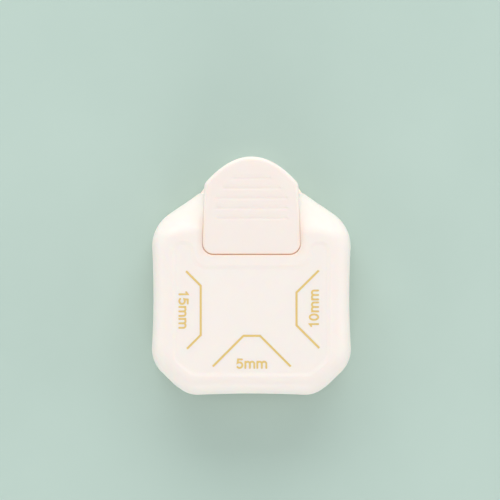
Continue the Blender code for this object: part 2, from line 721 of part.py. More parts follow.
def make_lever(plastic):
    """The thumb lever: a hollow ridged tongue, and a yoke under the cover that reaches forward to its pin."""
    lever = slab("lever", rounded(lever_outline()), SKIRT_LOW, COVER_TOP, lever_bend(), (1.4, 2))
    low, high = SKIRT_LOW - 2, COVER_TOP - LEVER_SKIN
    hollow = slab("lever_hollow", rounded(lever_outline(), 2.1), low, high, lever_bend())
    cut(lever, hollow)
    arm = eye_arc(90, 270) + [(0.0, 29.0), (8.6, 31.0), (8.6, 37.3)]
    left, right = (-ARM_OUT, -ARM_IN), (ARM_IN, ARM_OUT)
    pieces = [cross_slab(f"yoke_arm_{i}", arm, *x) for i, x in enumerate((left, right))]
    pieces += [
        block("yoke_web", (-ARM_IN - 1, ARM_IN + 1), (5.2, 8.3), (34.0, 37.0)),
        block("yoke_neck", (-19.8, 19.8), (7.0, 11.0), (34.2, 36.8)),
        block("yoke_bar", (-ARM_IN - 1, ARM_IN + 1), (PRESS_Y - 2.5, PRESS_Y + 2.5), (34.0, 36.0)),
        rod("press_nose", 2.0, (-8, PRESS_Y, 35.55), (8, PRESS_Y, 35.55)),
    ]
    join(lever, *pieces)
    pin_hole = rod("yoke_pin_hole", PIN_RADIUS + PIN_GAP, (-30, PIVOT_Y, PIVOT_Z), (30, PIVOT_Y, PIVOT_Z), 20)
    grooves = []
    tilt = math.radians(LEVER_SLOPE)
    for i, (y, half) in enumerate(GROOVE_ROWS):
        across = (-GROOVE_WIDTH / 2, GROOVE_WIDTH / 2)
        groove = block(f"groove_{i}", (-half, half), across, (-GROOVE_DEPTH, 1.0))
        surface = COVER_TOP + rise_at(lever_bend(), y)
        place = Matrix.Translation((0, y * MM, surface * MM)) @ Matrix.Rotation(tilt, 4, "X")
        groove.data.transform(place)
        grooves.append(groove)
    cut(lever, pin_hole, *grooves)
    return as_part(lever, plastic)


def main():
    start_scene()
    cream = make_material("cream_abs", (0.92, 0.86, 0.81), 0.38)
    inner = make_material("white_pom", (0.85, 0.85, 0.83), 0.45)
    tool_steel = make_material("tool_steel", (0.62, 0.63, 0.65), 0.25, 1.0)
    plate_steel = make_material("plate_steel", (0.58, 0.58, 0.6), 0.35, 1.0)
    wire = make_material("spring_steel", (0.5, 0.5, 0.52), 0.3, 1.0)
    zinc = make_material("zinc_screw", (0.6, 0.6, 0.58), 0.4, 1.0)

    make_cover(cream)
    make_base(cream)
    make_base_plate(cream)
    make_chip_door(cream)
    as_part(plate_with_windows("die_plate", DECK_HIGH - DIE_THICK, DECK_HIGH, 0.1), plate_steel)
    make_paper_guide(inner)
    as_part(plate_with_windows("stripper_plate", SLOT_HIGH, SLOT_HIGH + GUIDE_THICK, 0.1), plate_steel)
    make_inner_frame(inner)
    for key in PUNCHES:
        make_punch(key, tool_steel)
        head_low = CARRIER_HIGH - 0.4
        screw(f"punch_screw_{key}", zinc, screw_place(key), head_low, 1.9, 1.3, 0.9, CARRIER_LOW - 4.0)
    make_carrier(inner)
    for name, y in zip(("front", "rear"), POST_YS):
        as_part(post(f"guide_post_{name}", POST_RADIUS, (0, y), FRAME_HIGH - 2.1, 36.4), tool_steel)
        make_spring(f"return_spring_{name}", y, wire)
    make_lever(cream)
    make_pin(tool_steel)
    make_pin_ring(wire)
    for key, place in CASE_SCREWS.items():
        screw(f"case_screw_{key}", zinc, place, 0.4, 2.7, 1.6, 1.4, 23.0)
    for key, place in PLATE_SCREWS.items():
        screw(f"plate_screw_{key}", zinc, place, 6.4, 2.5, 1.8, 1.3, FRAME_HIGH - 2.0)

    hang_on("lever_hinge", (0, PIVOT_Y, PIVOT_Z), ["lever"])
    cutting_set = [f"{kind}_{key}" for kind in ("punch", "punch_screw") for key in PUNCHES]
    hang_on("carrier_slide", (0, SLOT_Y, CARRIER_LOW), ["punch_carrier", *cutting_set])
    hang_on("door_slide", (0, DOOR_Y[0], 2.0), ["chip_door"])


main()
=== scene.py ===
"""Looks for a three-way corner rounder: case, lever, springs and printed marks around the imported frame.

Lengths here are millimetres and the helpers turn them into metres. X = 0 is the middle of the width, +Y is
towards the thumb lever and Z = 0 is the table.
"""

import math

import bmesh
import bpy
import numpy as np
from mathutils import Matrix, Vector
from mathutils.geometry import delaunay_2d_cdt


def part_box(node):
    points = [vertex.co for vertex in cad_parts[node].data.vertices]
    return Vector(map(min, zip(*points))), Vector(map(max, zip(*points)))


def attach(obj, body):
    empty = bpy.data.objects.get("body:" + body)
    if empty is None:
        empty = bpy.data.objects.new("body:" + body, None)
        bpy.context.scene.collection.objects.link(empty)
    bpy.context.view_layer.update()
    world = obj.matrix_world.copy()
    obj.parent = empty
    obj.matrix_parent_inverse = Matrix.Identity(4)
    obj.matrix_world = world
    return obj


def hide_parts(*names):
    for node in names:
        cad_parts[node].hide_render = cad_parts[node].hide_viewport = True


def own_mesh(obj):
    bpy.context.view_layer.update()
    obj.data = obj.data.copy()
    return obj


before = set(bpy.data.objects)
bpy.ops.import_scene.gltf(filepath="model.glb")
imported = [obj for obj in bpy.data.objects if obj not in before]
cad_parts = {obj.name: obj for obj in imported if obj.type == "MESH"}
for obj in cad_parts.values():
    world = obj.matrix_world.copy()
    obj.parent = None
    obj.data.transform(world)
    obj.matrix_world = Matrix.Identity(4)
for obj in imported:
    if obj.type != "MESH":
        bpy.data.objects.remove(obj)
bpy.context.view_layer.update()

MM = 0.001

# The case's outline, whose sharp corners lie a little outside its rounded ones
CORNER_X = 43.25
CORNER_FRONT = -51.47
LEVER_TIP_Y = 51.3
TONGUE_SHORT = 0.6
DOME_RADIUS = 14.0

# Heights of the case, as in the frame
BASE_LOW = 0.3
INSIDE_LOW = 3.2
TONGUE_HIGH = 10.0
DECK_HIGH = 13.0
COVER_LOW = 13.2
SLOT_HIGH = 15.0
BULKHEAD_HIGH = 28.0
COVER_TOP = 40.0

# The cover: its walls, rounded rim, rear slope and shallow panel
WALL = 2.0
RIM = 8.0
CREST_Y = 17.6
CREST_RUN = 4.6
CREST_TURN = 2.0
REAR_SLOPE = 30.3
PANEL_DEPTH = 0.4
PANEL_EDGE = 1.1

# The notch in the cover, and the well below it that the lever goes down into
SEAM_Y = 9.2
NOTCH_HALF = 21.2
NOTCH_CORNER = 4.8
WELL_WALL = 1.7
WELL_LOW = 20.0
LIP_LOW = 37.4

# The lever's tongue, and the seam round it
LEVER_GAP = 0.17
SIDE_GAP = 0.08
LIP_GAP = 0.05
LEVER_TAPER = 0.0305
LEVER_SLOPE = 10.2
LEVER_BEND_Y = 9.7
LEVER_SKIN = 2.3
LEVER_WALL = 2.1
SKIRT_LOW = 27.9

# Painted glow: orange painted into the plastic's colour round the seam, for light through the plastic,
# strongest on its edges
HALO = 0.16
HALO_WIDE = 1.4
EDGE_HALO = 0.12
FRONT_HALO = 0.24
EDGE_WIDE = 0.35

# The lever's hidden yoke
PIVOT_Y = -38.0
PIVOT_Z = 31.0
EYE_RADIUS = 4.0
PIN_HOLE = 1.6
ARM_IN = 23.0
ARM_OUT = 25.6
PRESS_Y = -14.0

# The screws' places, and the paper slots' tips with the way out of each slot
CASE_SCREWS = ((-29.5, -42.2), (29.5, -42.2), (-33.0, 20.0), (33.0, 20.0))
PLATE_SCREWS = ((-17.0, -31.0), (17.0, -31.0), (-14.0, 2.3), (14.0, 2.3))
BOSS_RADIUS = 3.3
CASE_SCREW_HOLE = 1.6
PLATE_SCREW_HOLE = 1.5
PLATE_SCREW_BORE = 2.8
PLATE_SCREW_SEAT = 8.4
SLOT_TIPS = (((-11.2, -14.3), (-1, 0)), ((12.5, -14.3), (1, 0)), ((0.0, -22.0), (0, -1)))


# ---- outlines

def mirrored(right_half):
    """An outline's corners, each (x, y, radius), from those at X >= 0 listed front to rear."""
    left = [(-x, y, r) for x, y, r in reversed(right_half) if x > 0]
    return right_half + left


def dome(half_width, y_side, y_tip, corner, steps=14):
    """Corners of a parabola from its right end to its tip, rounded into one smooth curve."""
    points = []
    for i in range(steps + 1):
        x = half_width * (1 - i / steps)
        points.append((x, y_tip - (y_tip - y_side) * (x / half_width) ** 2, DOME_RADIUS if i else corner))
    return points


def body_corners():
    """The octagon that the base and the cover share, up to its rear diagonals."""
    return [
        (0.0, -50.4, 500.0),
        (26.9, CORNER_FRONT, 12.0),
        (32.9, -47.2, 20.0),
        (CORNER_X, -37.1, 14.0),
        (41.85, -9.0, 400.0),
        (CORNER_X, 21.4, 17.0),
    ]


def cover_corners():
    return mirrored(body_corners() + [(22.9, 35.6, 5.5)])


def deck_corners():
    """The base without its tongue, a little longer at the rear than the cover."""
    return mirrored(body_corners() + [(22.6, 36.0, 2.5)])


def tongue_dome(y_side=40.0):
    return dome(19.6, y_side, LEVER_TIP_Y - TONGUE_SHORT, 3.4)


def base_corners():
    """The whole base, with the tongue under the lever."""
    return mirrored(body_corners() + [(22.6, 36.1, 2.0), (20.4, 38.6, 1.5)] + tongue_dome())


def plate_corners():
    """The frame's own base, whose plate sits in the case."""
    front = [(0.0, -50.4, 500.0), (26.9, CORNER_FRONT, 12.0)]
    side = [(42.74, -37.7, 12.0), (42.0, -10.0, 400.0), (42.74, 21.7, 16.0)]
    return mirrored(front + side + [(20.1, 37.6, 2.5)] + tongue_dome(39.9))


def tongue_corners():
    """The tongue alone, from well inside the base at its front."""
    return mirrored([(21.4, 27.0, 0.0), (22.3, 35.9, 1.5), (20.4, 38.6, 1.5)] + tongue_dome())


def lever_corners():
    front = [(NOTCH_HALF - SIDE_GAP, SEAM_Y + LEVER_GAP, 4.6)]
    return mirrored(front + dome(20.2, 39.6, LEVER_TIP_Y, 3.6))


def panel_corners():
    """The shallow panel in the cover's top, with a horn up each side of the lever."""
    front = [(25.3, -42.4, 6.0), (33.2, -36.0, 6.0)]
    horn = [(33.2, 14.3, 3.6), (25.2, 14.3, 3.6), (25.2, 3.8, 6.0)]
    return mirrored(front + horn)


def traced(corners, arc_step, span):
    """Points along an anticlockwise outline, each as (x, y, nx, ny) with the way in as its normal.

    Between two points an arc turns by arc_step degrees at most, and they are span apart at most.
    """
    out = []
    count = len(corners)
    ends = []
    for i, (x, y, radius) in enumerate(corners):
        here = Vector((x, y))
        d_in = (here - Vector(corners[i - 1][:2])).normalized()
        d_out = (Vector(corners[(i + 1) % count][:2]) - here).normalized()
        n_in, n_out = Vector((-d_in.y, d_in.x)), Vector((-d_out.y, d_out.x))
        if radius <= 0:
            normal = (n_in + n_out).normalized()
            ends.append([(here, normal)])
            continue
        turn = math.atan2(d_in.x * d_out.y - d_in.y * d_out.x, d_in.dot(d_out))
        reach = radius * math.tan(abs(turn) / 2)
        start = here - d_in * reach
        centre = start + n_in * math.copysign(radius, turn)
        spokes = max(2, math.ceil(abs(math.degrees(turn)) / arc_step), math.ceil(abs(turn) * radius / span))
        arc = []
        for k in range(spokes + 1):
            rotation = Matrix.Rotation(turn * k / spokes, 2)
            arc.append((centre + rotation @ (start - centre), rotation @ n_in))
        ends.append(arc)
    for i, arc in enumerate(ends):
        out += [(p.x, p.y, n.x, n.y) for p, n in arc]
        (a, n_a), (b, n_b) = arc[-1], ends[(i + 1) % count][0]
        pieces = max(1, math.ceil((b - a).length / span))
        for k in range(1, pieces):
            p, n = a.lerp(b, k / pieces), n_a.lerp(n_b, k / pieces).normalized()
            out.append((p.x, p.y, n.x, n.y))
    return np.array(out)


def offset(trace, inset):
    """The traced outline moved inwards."""
    moved = trace.copy()
    moved[:, :2] += trace[:, 2:] * inset
    return moved


def clean_offset(trace, inset):
    """The same without the loops that a tight corner would make."""
    moved = offset(trace, inset)
    return moved[inside_distance(moved[:, :2], trace) > inset - 0.02]


def inside_distance(points, polygon):
    """Distance of each point to a closed polygon: above 0 inside it, below 0 outside."""
    points, a = np.asarray(points, float), np.asarray(polygon, float)[:, :2]
    b = np.roll(a, -1, axis=0)
    best = np.full(len(points), np.inf)
    inside = np.zeros(len(points), bool)
    for (ax, ay), (bx, by) in zip(a, b):
        ex, ey = bx - ax, by - ay
        length = ex * ex + ey * ey
        if length < 1e-12:
            continue
        px, py = points[:, 0] - ax, points[:, 1] - ay
        t = np.clip((px * ex + py * ey) / length, 0, 1)
        best = np.minimum(best, np.hypot(px - t * ex, py - t * ey))
        crosses = (ay > points[:, 1]) != (by > points[:, 1])
        if ey:
            inside ^= crosses & (points[:, 0] < ex * (points[:, 1] - ay) / ey + ax)
    return np.where(inside, best, -best)


def smooth(t):
    """0 up to t = 0 and 1 from t = 1, with an even rise between them."""
    t = np.clip(t, 0, 1)
    return t * t * (3 - 2 * t)


def quarter(depth, radius):
    """How far a rounded edge has dropped at a distance in from its foot."""
    d = np.clip(depth, 0, radius)
    return radius - np.sqrt(np.maximum(radius**2 - (radius - d) ** 2, 0))


# ---- lofted shells

def triangulated(loop, chains, loose):
    """A triangle mesh of the area inside a closed loop, with chains of edges and loose points inside it."""
    points = [Vector(p) for p in loop]
    edges = [(i, (i + 1) % len(loop)) for i in range(len(loop))]
    for chain, closed in chains:
        first = len(points)
        points += [Vector(p) for p in chain]
        edges += [(first + i, first + i + 1) for i in range(len(chain) - 1)]
        if closed:
            edges.append((first + len(chain) - 1, first))
    points += [Vector(p) for p in loose]
    verts, _, faces, source, _, _ = delaunay_2d_cdt(points, edges, [], 1, 1e-5)
    place = {}
    for new, old in enumerate(source):
        for index in old:
            place[index] = new
    return np.array([v[:] for v in verts]), [tuple(f) for f in faces], [place[i] for i in range(len(loop))]


# The lip's section: each point's share of the step outwards, and how far it is below the lip's top
LIP_PROFILE = ((0, -0.3), (0, 0), (1, 0.02), (1, 0.6), (0, 0.75))


def shell(name, loop, inner, top, under, low, fillet=0.35, lip=None):
    """A closed shell: a top over a loop, walls down to a rim, and an underside over the inner loop.

    top and under are (xy, faces, boundary, heights), and low is the rim's height at each point of the loop.
    lip is how far the wall steps out at each point, and at which height. fillet rounds the rim's edges.
    """
    verts, faces = [], []
    xy, tris, edge, z = top
    verts += [(x, y, h) for (x, y), h in zip(xy, z)]
    faces += tris
    loop, inner, low = np.asarray(loop)[:, :2], np.asarray(inner)[:, :2], np.asarray(low)
    way = inner - loop
    way /= np.maximum(np.linalg.norm(way, axis=1), 1e-6)[:, None]
    rings = [list(edge)]

    def ring(points, heights):
        rings.append(list(range(len(verts), len(verts) + len(points))))
        verts.extend((x, y, h) for (x, y), h in zip(points, heights))

    if lip:
        out, high = lip
        for share, drop in LIP_PROFILE:
            ring(loop - way * out[:, None] * share, high - drop)
    turns = [math.radians(a) for a in (0, 30, 60, 90)]
    for wall, way_in, angles in ((loop, way, turns), (inner, -way, reversed(turns))):
        for a in angles:
            ring(wall + way_in * fillet * (1 - math.cos(a)), low + fillet * (1 - math.sin(a)))
    xy, tris, edge, z = under
    first = len(verts)
    verts += [(x, y, h) for (x, y), h in zip(xy, z)]
    faces += [tuple(first + i for i in reversed(f)) for f in tris]
    rings.append([first + i for i in edge])
    count = len(loop)
    for a, b in zip(rings, rings[1:]):
        for i in range(count):
            j = (i + 1) % count
            faces.append(tuple(dict.fromkeys((a[i], b[i], b[j], a[j]))))
    return finished(name, verts, [f for f in faces if len(f) > 2])


def finished(name, verts, faces):
    """A welded object of the faces, shaded smooth except at its sharp edges."""
    loose = bpy.data.meshes.new("loose")
    loose.from_pydata([Vector(v) * MM for v in verts], [], faces)
    bm = bmesh.new()
    bm.from_mesh(loose)
    bpy.data.meshes.remove(loose)
    bmesh.ops.remove_doubles(bm, verts=bm.verts, dist=2e-6)
    bmesh.ops.dissolve_degenerate(bm, edges=bm.edges, dist=1e-6)
    return smoothed(mesh_object(name, bm), 40)


# ---- the cover

def rear_crossing(trace, x_side):
    """The y at which the outline's rear passes x_side."""
    for (x0, y0, *_), (x1, y1, *_) in zip(trace, np.roll(trace, -1, axis=0)):
        if y0 > 20 and (x0 - x_side) * (x1 - x_side) <= 0 and x0 != x1:
            return y0 + (y1 - y0) * (x_side - x0) / (x1 - x0)
    raise ValueError("the outline doesn't pass there")


def with_marks(trace, marks):
    """The trace with a close pair of points where it crosses each mark, a (point, direction) line."""
    out = []
    count = len(trace)
    for i in range(count):
        a, b = trace[i], trace[(i + 1) % count]
        out.append(a)
        found = []
        for (mx, my), (dx, dy) in marks:
            side_a = (a[0] - mx) * dy - (a[1] - my) * dx
            side_b = (b[0] - mx) * dy - (b[1] - my) * dx
            if side_a * side_b < 0:
                t = side_a / (side_a - side_b)
                at = a + (b - a) * t
                if (at[0] - mx) * dx + (at[1] - my) * dy > 0:
                    found.append(t)
        gap = 0.01 / max(np.hypot(*(b - a)[:2]), 1e-6)
        for t in sorted(found):
            out += [a + (b - a) * (t - gap), a + (b - a) * (t + gap)]
    return np.array(out)


def cover_top(x, y):
    """Height of the unrounded top: a plateau, then a slope that starts further forward at the sides."""
    fall = math.tan(math.radians(REAR_SLOPE))
    y_bend = y + CREST_TURN * smooth((np.abs(x) - 25) / 14)
    t = np.clip(y_bend - CREST_Y, 0, CREST_RUN)
    return COVER_TOP - fall * (t**2 / 2 / CREST_RUN + np.maximum(y_bend - CREST_Y - CREST_RUN, 0))


def notch_side(y_rear):
    """The notch's right half from its rear end to the middle of its front, as (x, y, nx, ny)."""
    side = [(NOTCH_HALF, y, 1, 0) for y in y_rear if y > SEAM_Y + NOTCH_CORNER + 0.05]
    x_centre, y_centre = NOTCH_HALF - NOTCH_CORNER, SEAM_Y + NOTCH_CORNER
    arc = []
    for k in range(25):
        a = -math.pi / 2 * k / 24
        nx, ny = math.cos(a), math.sin(a)
        arc.append((x_centre + NOTCH_CORNER * nx, y_centre + NOTCH_CORNER * ny, nx, ny))
    front = [(x_centre * (1 - k / 10), SEAM_Y, 0, -1) for k in range(1, 11)]
    return side + arc + front


def clear_of_notch(points, beside, before=0.0):
    """Which points are outside the notch, by a margin beside it and one before it."""
    return (np.abs(points[:, 0]) > NOTCH_HALF + beside) | (points[:, 1] < SEAM_Y - before)


def from_rear_left(points):
    """A closed run of points, turned to start at its rear left end."""
    return np.roll(points, -np.argmax(points[:, 1] * (points[:, 0] < 0)), axis=0)


def taper_notch(cover):
    """Draws the notch's sides in towards the rear, for an even gap beside the tapered lever."""
    for vertex in cover.data.vertices:
        x, y = vertex.co.x / MM, vertex.co.y / MM
        if y > SEAM_Y:
            fade = 1 - float(smooth((abs(x) - 23.5) / 8))
            vertex.co.x -= math.copysign(LEVER_TAPER * (y - SEAM_Y) * fade * MM, x)


def paint_seam_glow(obj, painted_glow):
    """Stores how much painted glow each point gets, which the plastic's colour mixes in for light through the
    plastic.
    """
    marks = obj.data.attributes.new("warm", "FLOAT", "POINT")
    points = np.array([v.co[:] for v in obj.data.vertices]) / MM
    marks.data.foreach_set("value", painted_glow(points).astype(np.float32))


def side_share(y):
    """1 along the seam's front, falling as it turns back along the lever's sides."""
    return 1 - smooth((y - 10.5) / 4)


def rear_fade(y):
    """1 along the seam's front half, falling to 0 where the slope has left the lever's sides."""
    return 1 - smooth((y - 18) / 14)


def halo(distance, y):
    """How much painted glow the surface gets at a distance from the seam: strong on the steep edge, then
    faint.
    """
    d = np.maximum(distance, 0)
    edge = (EDGE_HALO + FRONT_HALO * side_share(y)) * (1 - smooth(d / EDGE_WIDE))
    return (edge + HALO * (1 - smooth(d / HALO_WIDE))) * rear_fade(y)


def cover_rings(outline):
    """The outline at the steps in which the rim rounds over, from its foot to the flat top."""
    angles = (7, 14, 21, 28, 35, 42, 49, 56, 63, 70, 77, 84, 90)
    return [clean_offset(outline, RIM * (1 - math.cos(math.radians(a)))) for a in angles]


def slot_marks():
    """Two lines from each slot's tip, at 45 degrees to its way out, along which the slot's mouth ends."""
    marks = []
    for tip, out in SLOT_TIPS:
        marks += [(tip, (out[0] - out[1], out[1] + out[0])), (tip, (out[0] + out[1], out[1] - out[0]))]
    return marks


def cover_points(outline, panel):
    """Loose points for the top's mesh: a grid on the plateau and a closer one on the slope."""
    margin, x_steps = 0.9, np.arange(-34, 35, 2.0)
    plateau = [(x, y) for x in x_steps for y in np.arange(-42, 14, 2.0)]
    plateau += [(x, y) for x in x_steps for y in np.arange(14, 27, 0.8)]
    plateau = np.array(plateau)
    clear = inside_distance(plateau, outline) > RIM + 0.5
    clear &= clear_of_notch(plateau, margin, margin)
    clear &= np.abs(inside_distance(plateau, panel)) > PANEL_EDGE + 0.2
    plateau = plateau[clear]
    slope = np.array([(x, y) for x in x_steps for y in np.arange(12.4, 27, 0.8)])
    edge = inside_distance(slope, outline)
    slope = slope[(edge > 0.8) & (edge <= RIM + 0.5) & (np.abs(slope[:, 0]) > NOTCH_HALF + margin)]
    return plateau, np.vstack([plateau, slope])


def build_cover():
    """The case's upper shell, with the paper slots' mouths and the well behind the notch."""
    outline = traced(cover_corners(), 2.5, 1.6)
    panel = traced(panel_corners(), 6, 2.0)
    rings = cover_rings(outline)

    # The loop round the top, out along the case and back round the notch
    y_rear = rear_crossing(outline, NOTCH_HALF)
    y_inner = rear_crossing(offset(outline, WALL), NOTCH_HALF + WELL_WALL)
    well_rear, well_front = y_inner - 0.1, SEAM_Y + NOTCH_CORNER + 0.3
    side_ys = [y_rear] + [rear_crossing(r, NOTCH_HALF) for r in rings]
    side_ys += [y + step for y in (well_rear, well_front) for step in (0.01, -0.01)]
    side_ys += list(np.arange(26.5, SEAM_Y + NOTCH_CORNER + 0.6, -0.8))
    right = np.array(notch_side(sorted(set(side_ys), reverse=True)), float)
    notch = np.vstack([right, right[::-1][1:] * (-1, 1, -1, 1)])
    notch_area = np.vstack([notch[:, :2], [(-NOTCH_HALF, 60), (NOTCH_HALF, 60)]])
    marked = with_marks(outline, slot_marks())
    outside = from_rear_left(marked[clear_of_notch(marked, 0.02)])
    loop = np.vstack([outside, notch])
    on_notch = np.arange(len(loop)) >= len(outside)

    # The loop round the inside, a wall's thickness in
    inner = loop.copy()
    inner[:, :2] += loop[:, 2:] * np.where(on_notch, WELL_WALL, WALL)[:, None]
    near_corner = (loop[:, 1] > 25) & (np.abs(inner[:, 0]) < NOTCH_HALF + WELL_WALL)
    inner[near_corner, 0] = np.sign(loop[near_corner, 0]) * (NOTCH_HALF + WELL_WALL)
    inner[near_corner, 1] = y_inner
    inner[on_notch & (inner[:, 1] > y_inner), 1] = y_inner

    # The top, meshed along the rounded rim, the notch's rounded edge and the panel's edge
    chains = []
    for ring in rings:
        kept = from_rear_left(ring[clear_of_notch(ring, 0.02), :2])
        y_cross = rear_crossing(ring, NOTCH_HALF)
        chains.append(([(-NOTCH_HALF, y_cross), *kept, (NOTCH_HALF, y_cross)], False))
    for out in (0.06, 0.16, 0.3, 0.5):
        moved = offset(notch, out)
        chains.append((moved[inside_distance(moved[:, :2], outline) > 0.1, :2], False))
    for inset in (-PANEL_EDGE, -0.75, -0.4, 0, 0.4, 0.75, PANEL_EDGE):
        chains.append((offset(panel, inset)[:, :2], True))
    plateau, loose = cover_points(outline, panel)
    xy, faces, boundary = triangulated(loop[:, :2], chains, loose)

    def height(points):
        x, y = points[:, 0], points[:, 1]
        z = cover_top(x, y) - quarter(inside_distance(points, outline), RIM)
        z -= PANEL_DEPTH * smooth(inside_distance(points, panel) / 2 / PANEL_EDGE + 0.5)
        beside = np.maximum(-inside_distance(points, notch_area), 0)
        return z - np.array([quarter(d, 0.15 + 0.35 * share) for d, share in zip(beside, side_share(y))])

    top = (xy, faces, boundary, height(xy))

    # The underside, a wall's thickness below
    core_rings = []
    for a in (15, 30, 50, 70, 90):
        ring = clean_offset(outline, WALL + (RIM - WALL) * (1 - math.cos(math.radians(a))))
        core_rings.append((from_rear_left(ring[clear_of_notch(ring, WELL_WALL + 0.3), :2]), False))
    xy, faces, boundary = triangulated(inner[:, :2], core_rings, plateau[::2])
    rounding = quarter(inside_distance(xy, offset(outline, WALL)), RIM - WALL)
    under = (xy, faces, boundary, cover_top(xy[:, 0], xy[:, 1]) - WALL - rounding)

    # The rim's height: raised over the slots' mouths, and higher round the well and the notch's front
    low = np.full(len(loop), COVER_LOW)
    for tip, out in SLOT_TIPS:
        x, y = loop[:, 0] - tip[0], loop[:, 1] - tip[1]
        ahead, across = x * out[0] + y * out[1], np.abs(x * out[1] - y * out[0])
        low[(ahead > across) & ~on_notch] = SLOT_HIGH
    low[on_notch & (loop[:, 1] < well_rear)] = WELL_LOW
    low[on_notch & (loop[:, 1] < well_front)] = LIP_LOW
    cover = shell("case_cover", loop, inner, top, under, low)

    # Painted glow: orange on the notch's walls below the top and round its edge, for light through the
    # plastic
    def painted_glow(points):
        out = np.maximum(-inside_distance(points, notch_area), 0)
        y, z = points[:, 1], points[:, 2]
        inside = (0.2 + 0.4 * side_share(y)) * rear_fade(y) * (z > 34)
        return np.where(z < height(points) - 0.2, inside, halo(out, y))

    paint_seam_glow(cover, painted_glow)
    taper_notch(cover)
    return cover


# ---- the lever

# Each groove's rear edge and half its length
GROOVES = ((42.6, 8.6), (38.4, 12.7), (34.1, 15.6), (29.8, 15.6), (25.5, 15.6))
GROOVE_RUN = 1.6
GROOVE_DEPTH = 0.26
GROOVE_END = 0.5


def lever_plane(y):
    """Height of the lever's flat top, which rises from the cover's towards the rear."""
    return COVER_TOP + math.tan(math.radians(LEVER_SLOPE)) * (y - LEVER_BEND_Y)


def top_radius(y):
    """How far the top's edge is rounded, more towards the rear."""
    return 0.6 + 1.3 * smooth((y - 25) / 12)


def lip_heights(outline, high):
    """The lip's height against y, from the front to the rear."""
    order = np.argsort(outline[:, 1])
    return outline[order, 1], high[order]


def groove_drop(x, y):
    """Each groove drops steeply at its rear edge and ramps back up towards the front."""
    drop = np.zeros(len(x))
    for y_edge, half in GROOVES:
        t = y_edge - y
        shape = smooth(t / 0.3) * (1 - smooth((t - 0.35) / (GROOVE_RUN - 0.35)))
        drop = np.maximum(drop, GROOVE_DEPTH * shape * smooth((half - np.abs(x)) / GROOVE_END))
    return drop


def groove_lines():
    """Lines of mesh points across each groove, close together where it drops."""
    chains = []
    for y_edge, half in GROOVES:
        end = [half, half - 0.2, half - GROOVE_END]
        middle = np.linspace(1.5 - half, half - 1.5, 12)
        columns = [-x for x in end] + list(middle) + end[::-1]
        for t in (-0.05, 0.08, 0.18, 0.3, 0.5, 0.75, 1.05, 1.35, GROOVE_RUN, GROOVE_RUN + 0.2):
            chains.append(([(x, y_edge - t) for x in columns], False))
    return chains


def lever_points(outline):
    """Loose points for the lever's mesh, clear of its edge and its grooves."""
    grid = np.array([(x, y) for x in np.arange(-19, 19.5, 2.0) for y in np.arange(12, 50, 2.0)])
    clear = inside_distance(grid, outline) > 2.3
    x, y = np.abs(grid[:, 0]), grid[:, 1]
    for y_edge, half in GROOVES:
        clear &= (x > half + 0.5) | (y > y_edge + 0.5) | (y < y_edge - GROOVE_RUN - 0.6)
    return grid[clear]


def build_lever():
    """The lever's tongue: a rounded shell with grooves, and a lip that nearly closes the seam round it."""
    outline = traced(lever_corners(), 5, 1.2)
    insets = (0.03, 0.1, 0.22, 0.4, 0.62, 0.9, 1.2, 1.55, 1.9)
    chains = [(offset(outline, inset)[:, :2], True) for inset in insets] + groove_lines()
    grid = lever_points(outline)
    xy, faces, boundary = triangulated(outline[:, :2], chains, grid)
    x, y = xy[:, 0], xy[:, 1]
    depth = inside_distance(xy, outline)
    rounding = np.array([quarter(d, r) for d, r in zip(depth, top_radius(y))])
    top = (xy, faces, boundary, lever_plane(y) - rounding - groove_drop(x, y))
    inner = offset(outline, LEVER_WALL)
    xy, faces, boundary = triangulated(inner[:, :2], [], grid[::2])
    under = (xy, faces, boundary, lever_plane(xy[:, 1]) - LEVER_SKIN)

    # The lip is just under the cover's edge, and under the lever's own where the slope has left it
    x, y = outline[:, 0], outline[:, 1]
    below_cover = cover_top(x, y) - 0.15 - 0.3 * side_share(y)
    high = np.minimum(below_cover, lever_plane(y) - top_radius(y) - 0.35)
    high = np.maximum(high, SKIRT_LOW + 2)
    out = SIDE_GAP - LIP_GAP + (LEVER_GAP - SIDE_GAP) * (1 - smooth((y - SEAM_Y - LEVER_GAP) / 2))
    out *= 1 - smooth((y - 31) / 3)
    low = np.full(len(outline), SKIRT_LOW)
    lever = shell("thumb_lever", outline, inner, top, under, low, 0.5, (out, high))

    # Painted glow: strongest on the lip at the seam's bottom, and a halo round the top's edge, for light
    # through the plastic
    def painted_glow(points):
        depth, y = inside_distance(points, outline), points[:, 1]
        from_lip = np.interp(y, *lip_heights(outline, high)) - points[:, 2]
        on_lip = (depth < 0.02) & (np.abs(from_lip) < 0.1)
        return np.where(on_lip, (0.35 + 0.65 * side_share(y)) * rear_fade(y), halo(depth, y))

    paint_seam_glow(lever, painted_glow)
    return lever


# ---- slabs and cuts

def smoothed(obj, angle):
    """The object shaded smooth, except at edges sharper than an angle in degrees."""
    obj.data.shade_smooth()
    obj.data.set_sharp_from_angle(angle=math.radians(angle))
    return obj


def mesh_object(name, bm):
    bmesh.ops.recalc_face_normals(bm, faces=bm.faces)
    mesh = bpy.data.meshes.new(name)
    bm.to_mesh(mesh)
    bm.free()
    obj = bpy.data.objects.new(name, mesh)
    bpy.context.scene.collection.objects.link(obj)
    return obj


def raised(bm, faces, low, high):
    """Makes flat faces at one height into solids that reach another."""
    made = bmesh.ops.extrude_face_region(bm, geom=faces)["geom"]
    verts = [g for g in made if isinstance(g, bmesh.types.BMVert)]
    bmesh.ops.translate(bm, vec=(0, 0, (high - low) * MM), verts=verts)


def rounded(bm, edges, width, steps):
    bmesh.ops.bevel(bm, geom=edges, offset=width * MM, segments=steps, profile=0.5, affect="EDGES")


